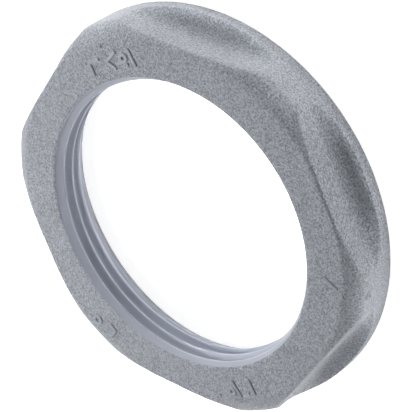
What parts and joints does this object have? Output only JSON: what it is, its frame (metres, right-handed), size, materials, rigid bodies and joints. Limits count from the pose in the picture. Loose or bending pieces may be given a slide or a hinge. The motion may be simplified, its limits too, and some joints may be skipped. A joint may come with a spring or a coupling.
{
  "type": "cable gland locknut",
  "caption": "Flat plastic hexagonal locknut with a round seating collar, chamfered corners and a finely threaded bore, screwed on a cable gland to clamp it in a panel hole.",
  "frame": {"origin": "centre of the collar's seating face, on the thread's axis", "axes": "+Z along the thread's axis, from the seating face to the front face; +X square to a wrench flat"},
  "size_m": [0.0502, 0.0502, 0.007],
  "materials": {
    "nylon": "spark-eroded grain outside, smooth thread"
  },
  "bodies": {
    "root": {"locknut": "nylon"}
  },
  "joints": []
}
